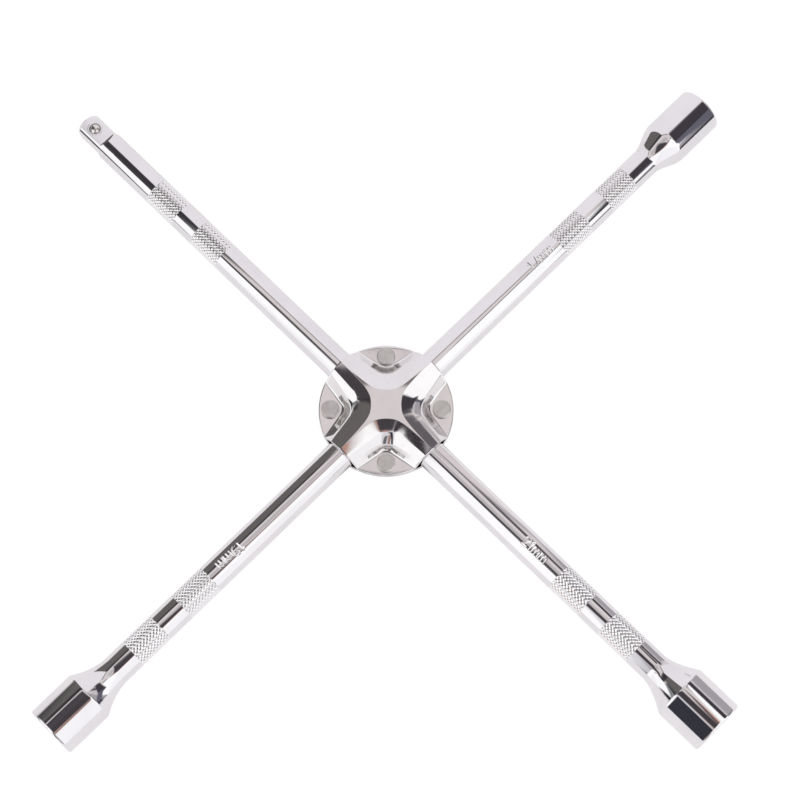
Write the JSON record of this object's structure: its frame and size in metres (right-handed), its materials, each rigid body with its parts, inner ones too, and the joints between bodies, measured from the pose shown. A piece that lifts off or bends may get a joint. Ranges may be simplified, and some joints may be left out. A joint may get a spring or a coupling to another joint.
{
  "type": "four-way lug wrench",
  "caption": "Cross-shaped wheel nut wrench: a hexagon socket on each of three bars, a sprung square drive on the other, and a riveted round hub.",
  "frame": {"origin": "centre of the hub, where the axes of the four bars meet, halfway through the thickness", "axes": "+Z square to the plane of the cross, on the side of the detent ball; +X along the 21 mm arm; +Y along the 17 mm arm; -X along the drive arm; -Y along the 19 mm arm"},
  "size_m": [0.4698, 0.4845, 0.0308],
  "materials": {
    "bar_chrome": "bright chrome plate over steel, with knurled bands",
    "socket_chrome": "bright chrome plate over forged steel",
    "hub_chrome": "bright chrome plate over pressed steel",
    "rivet_steel": "matt silver, faintly ringed",
    "ball_steel": "polished bearing steel",
    "spring_steel": "oiled spring wire",
    "weld_steel": "rough weld metal"
  },
  "bodies": {
    "wrench": {"bar_17": "bar_chrome", "bar_19": "bar_chrome", "bar_21": "bar_chrome", "bar_drive": "bar_chrome", "socket_17": "socket_chrome", "socket_19": "socket_chrome", "socket_21": "socket_chrome", "centre_weld": "weld_steel", "front_plate": "hub_chrome", "back_plate": "hub_chrome", "rivet_1": "rivet_steel", "rivet_2": "rivet_steel", "rivet_3": "rivet_steel", "rivet_4": "rivet_steel", "detent_spring": "spring_steel"},
    "detent": {"detent_ball": "ball_steel"}
  },
  "joints": [
    {"name": "detent_ball_press", "type": "slide", "parent": "wrench", "child": "detent", "axis": [0, 0, -1], "range_m": [0, 0.00145], "stiffness_N_per_m": 800, "springref_m": -0.002, "deforming": ["detent_spring"]}
  ]
}
